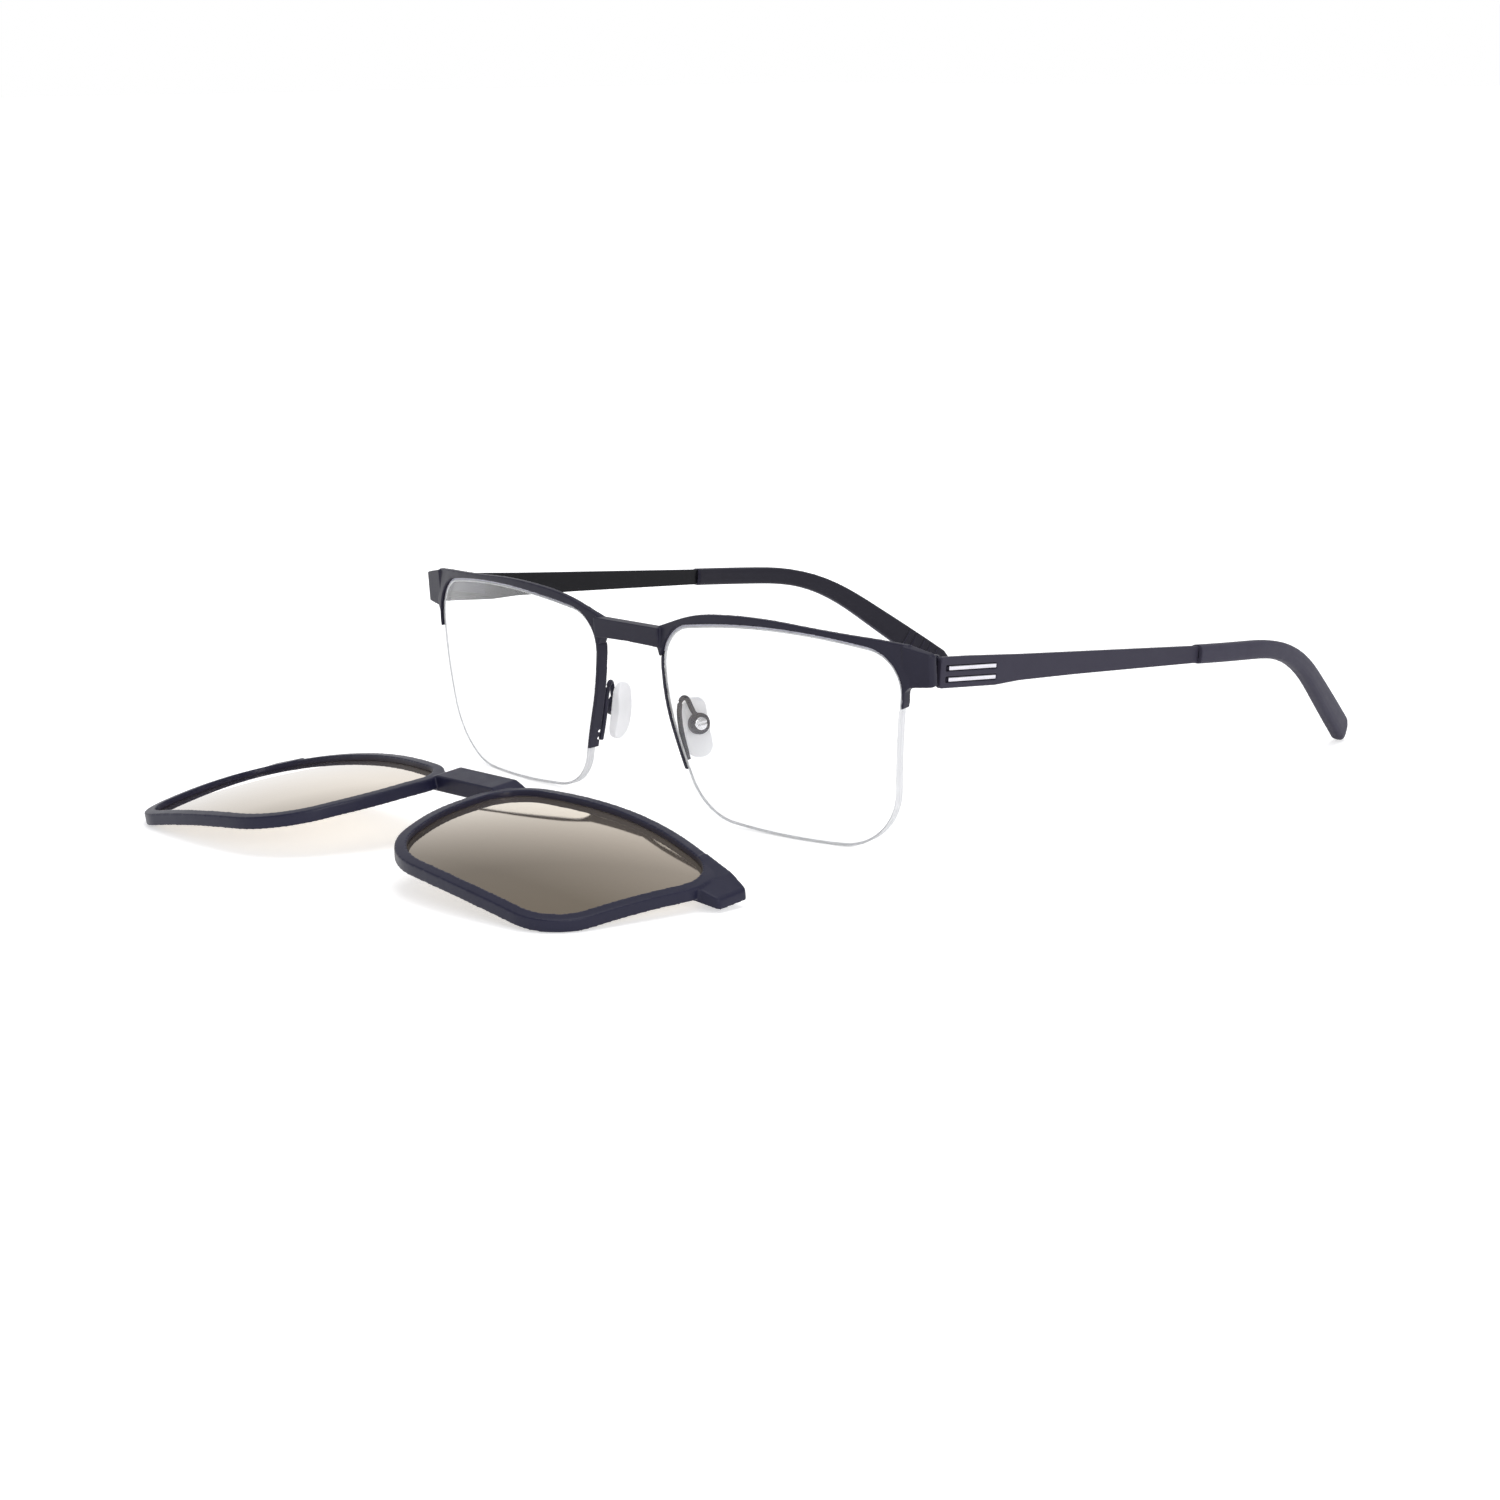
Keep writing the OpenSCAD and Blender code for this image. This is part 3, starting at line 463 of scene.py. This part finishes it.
def skinned(name, loops, side, place, closed_round, edge_loops=()):
    """A skin over loops of equal length: closed round each loop, or round a section and at both ends."""
    edit = bmesh.new()
    move = Matrix.Scale(MM, 4) @ Matrix.Scale(1 if side == "left" else -1, 4, (1, 0, 0)) @ place
    rows = [[edit.verts.new(move @ v) for v in loop] for loop in loops]
    count = len(rows[0])
    pairs = list(zip(rows, rows[1:])) if closed_round else list(zip(rows, rows[1:] + rows[:1]))
    for i, (first, second) in enumerate(pairs):
        for k in range(count if closed_round else count - 1):
            n = (k + 1) % count
            face = edit.faces.new((first[k], first[n], second[n], second[k]))
            face.material_index = 1 if i in edge_loops else 0
    if closed_round:
        for row in (rows[0], rows[-1]):
            middle = edit.verts.new(sum((v.co for v in row), Vector()) / count)
            for k in range(count):
                edit.faces.new((row[k], row[(k + 1) % count], middle))
    else:
        edit.faces.new([row[0] for row in rows])
        edit.faces.new([row[-1] for row in rows])
    bmesh.ops.recalc_face_normals(edit, faces=edit.faces)
    for face in edit.faces:
        face.smooth = True
    for edge in edit.edges:
        edge.smooth = edge.calc_face_angle(0) < CREASE
    mesh = bpy.data.meshes.new(name)
    edit.to_mesh(mesh)
    edit.free()
    return mesh


# Rings from the middle of a lens to its edge, as shares of the outline, and sizes of its edge in mm
SHARES = [0.04, 0.12, 0.22, 0.32, 0.42, 0.52, 0.62, 0.72, 0.81, 0.89, 0.95, 0.985]
CHAMFER = 0.12
GROOVE_DEPTH = CORD_W * 0.7
GROOVE_SLOPE = 0.08


def lens_loops(outline, radius, front, back, grow, groove):
    """Loops over a lens from the middle of its front, round the edge, to the middle of its back."""

    def ring(inset, behind, share=1.0):
        return [on_surface((p + n * (grow - inset)) * share, behind, radius) for p, n in outline]

    loops = [ring(0, front, share) for share in SHARES]
    loops += [ring(CHAMFER, front), ring(0, front + CHAMFER)]
    if groove:
        near = (front + back - CORD_W) / 2
        loops += [ring(0, near), ring(GROOVE_DEPTH, near + GROOVE_SLOPE),
                  ring(GROOVE_DEPTH, near + CORD_W - GROOVE_SLOPE), ring(0, near + CORD_W)]
    loops += [ring(0, back - CHAMFER), ring(CHAMFER, back)]
    loops += [ring(0, back, share) for share in reversed(SHARES)]
    return loops, range(len(SHARES), len(loops) - len(SHARES) - 1)


def ribbon(outline, keep, section, radius):
    """Loops that carry a section, given as outward and behind, along the kept run of an outline."""
    start = next(i for i in range(len(outline)) if keep(outline[i][0]) and not keep(outline[i - 1][0]))
    turned = outline[start:] + outline[:start]
    run = [row for row in turned if keep(row[0])]
    return [[on_surface(p + n * out, behind, radius) for p, n in run] for out, behind in section]


# Section of the cord and of the liner, and how far short of the metal they end. Millimetres
WIRE_R = 0.29
WIRE_PARTS = 10
LINER_SIDES = (0.22, 0.26, 1.44, 1.48)
LINER_IN = 0.02
LINER_ROUND = 0.06
END_GAP = 0.1


def add_lenses():
    """Lenses, cords and liners, from the outlines."""
    plain = lens_outline(LENS)
    soft = lens_outline(CLIP_LENS)
    middle = LENS_T / 2
    wire = [(-CORD_W / 2 + WIRE_R * math.cos(a), middle + WIRE_R * math.sin(a))
            for a in (math.tau * k / WIRE_PARTS for k in range(WIRE_PARTS))]
    low, low_round, high_round, high = LINER_SIDES
    strip = [(LINER_IN, low_round), (LINER_IN, high_round),
             (LINER_ROUND, high), (LINER_T - LINER_ROUND, high),
             (LINER_T - LINER_IN, high_round), (LINER_T - LINER_IN, low_round),
             (LINER_T - LINER_ROUND, low), (LINER_ROUND, low)]
    clip_back = CLIP_RECESS + CLIP_LENS_T
    for side in SIDES:
        loops, edge = lens_loops(plain, LENS_R, 0, LENS_T, 0, True)
        name = f"lens.{side}"
        add_piece(name, f"lens_{side}", skinned(name, loops, side, AT_FRONT, True, edge), CLEAR, GROUND)
        loops, _ = lens_loops(soft, CLIP_R, CLIP_RECESS, clip_back, CLIP_GROW, False)
        name = f"clip_lens.{side}"
        add_piece(name, f"clip_lens_{side}", skinned(name, loops, side, AT_CLIP, True), MIRROR)
        below = ribbon(plain, lambda p: p.y < (STUB_END if p.x > 0 else RIM_END) - END_GAP, wire, LENS_R)
        name = f"cord.{side}"
        add_piece(name, f"lens_cord_{side}", skinned(name, below, side, AT_FRONT, False), CORD)
        over = ribbon(plain, lambda p: p.y > (STUB_END if p.x > 0 else RIM_TOP) + END_GAP, strip, LENS_R)
        name = f"liner.{side}"
        add_piece(name, f"brow_liner_{side}", skinned(name, over, side, AT_FRONT, False), LINER)


def build_pieces():
    """Every piece that stands in for a CAD node. Soft edges: voxel and passes. Bevels: width."""
    add_lenses()
    softened("brow_frame", FRONT, 0.14 * MM, 6)
    softened("clip_frame", CLIP, 0.17 * MM, 9)
    for side in SIDES:
        softened(f"inner_rim_{side}", FRONT, 0.09 * MM, 4)
        softened(f"pad_arm_{side}", FRONT, 0.09 * MM, 5)
        softened(f"nose_pad_{side}", PAD, 0.12 * MM, 12)
        softened(f"temple_{side}", TEMPLE, 0.12 * MM, 5)
        softened(f"temple_tip_{side}", TIP, 0.13 * MM, 3)
        bevelled(f"trim_bars_{side}", TRIM, 0.16 * MM)
        bevelled(f"pad_screw_{side}", STEEL, 0.06 * MM)
        bevelled(f"pad_insert_{side}", INSERT, 0.06 * MM)
        bevelled(f"hinge_screw_{side}", FRONT, 0.06 * MM)
        bevelled(f"hinge_leaf_{side}", FRONT, 0.1 * MM)
        bevelled(f"temple_leaf_{side}", FRONT, 0.1 * MM)


def dress_cad():
    """Gives the CAD nodes that stay their materials."""
    for node in ("bridge_magnets", "clip_magnets"):
        wear(cad[node], MAGNET)
    for side in SIDES:
        wear(cad[f"core_wire_{side}"], CORE)


# Stage
FLOOR_HALF = 8
FLOOR_DROP = -0.05 * MM
FLOOR_GLOW = 0.53
FAR_GLOW = 1.1
# Distances from the object, in metres, between which the floor's glow rises
GLOW_START = 0.16
GLOW_END = 0.75


def add_floor():
    """White table: it keeps the shadow, and looks white to the camera, in metal and through glass."""
    mesh = bpy.data.meshes.new("floor")
    edit = bmesh.new()
    bmesh.ops.create_grid(edit, x_segments=1, y_segments=1, size=FLOOR_HALF)
    edit.to_mesh(mesh)
    edit.free()
    floor = linked("floor", mesh)
    floor.location.z = FLOOR_DROP
    shader = Shader("floor", Base_Color=(0.8, 0.8, 0.8, 1), Roughness=0.8, Specular_IOR_Level=0.1)
    wear(floor, shader)
    seen = shader.rays("Is Camera Ray", "Is Glossy Ray", "Is Transmission Ray")
    away = shader.node("ShaderNodeVectorMath", operation="LENGTH")
    shader.link(shader.place(), away.inputs[0])
    rise = shader.node("ShaderNodeMapRange", From_Min=GLOW_START, From_Max=GLOW_END,
                       To_Min=FLOOR_GLOW, To_Max=FAR_GLOW)
    shader.link(away.outputs["Value"], rise.inputs["Value"])
    glow = shader.node("ShaderNodeMath", operation="MULTIPLY")
    shader.link(seen, glow.inputs[0])
    shader.link(rise.outputs["Result"], glow.inputs[1])
    shader.set("Emission Color", (1, 1, 1, 1))
    shader.feed("Emission Strength", glow.outputs["Value"])


def add_world():
    """White all round, greyer overhead, and plain white where the camera sees it."""
    world = bpy.data.worlds.new("studio")
    scene.world = world
    world.use_nodes = True
    nodes = Nodes(world.node_tree)
    around = nodes.tree.nodes["Background"]
    parts = nodes.node("ShaderNodeSeparateXYZ")
    nodes.link(nodes.node("ShaderNodeTexCoord").outputs["Generated"], parts.inputs["Vector"])
    ramp = nodes.node("ShaderNodeValToRGB")
    low, high = ramp.color_ramp.elements
    low.position = 0.28
    low.color = (0.95, 0.95, 0.96, 1)
    high.position = 0.62
    high.color = (0.42, 0.42, 0.44, 1)
    nodes.link(parts.outputs["Z"], ramp.inputs["Fac"])
    nodes.link(ramp.outputs["Color"], around.inputs["Color"])
    plain = nodes.node("ShaderNodeBackground", Color=(1, 1, 1, 1))
    mix = nodes.node("ShaderNodeMixShader")
    nodes.link(nodes.rays("Is Camera Ray", "Is Transmission Ray"), mix.inputs[0])
    nodes.link(around.outputs["Background"], mix.inputs[1])
    nodes.link(plain.outputs["Background"], mix.inputs[2])
    nodes.link(mix.outputs["Shader"], nodes.tree.nodes["World Output"].inputs["Surface"])


def add_light(name, place, aim, size, power):
    data = bpy.data.lights.new(name, "AREA")
    data.shape = "DISK"
    data.size = size
    data.energy = power
    light = linked(name, data)
    light.location = place
    light.rotation_euler = (Vector(aim) - Vector(place)).to_track_quat("-Z", "Y").to_euler()


add_camera()
build_pieces()
dress_cad()
add_floor()
add_world()
add_light("above", (0.1, 0.1, 1.3), (0, 0, 0), 1.0, 7)
add_light("side", (1.3, -0.5, 0.5), (0, 0, 0.02), 0.5, 6)
scene.view_settings.view_transform = "Standard"
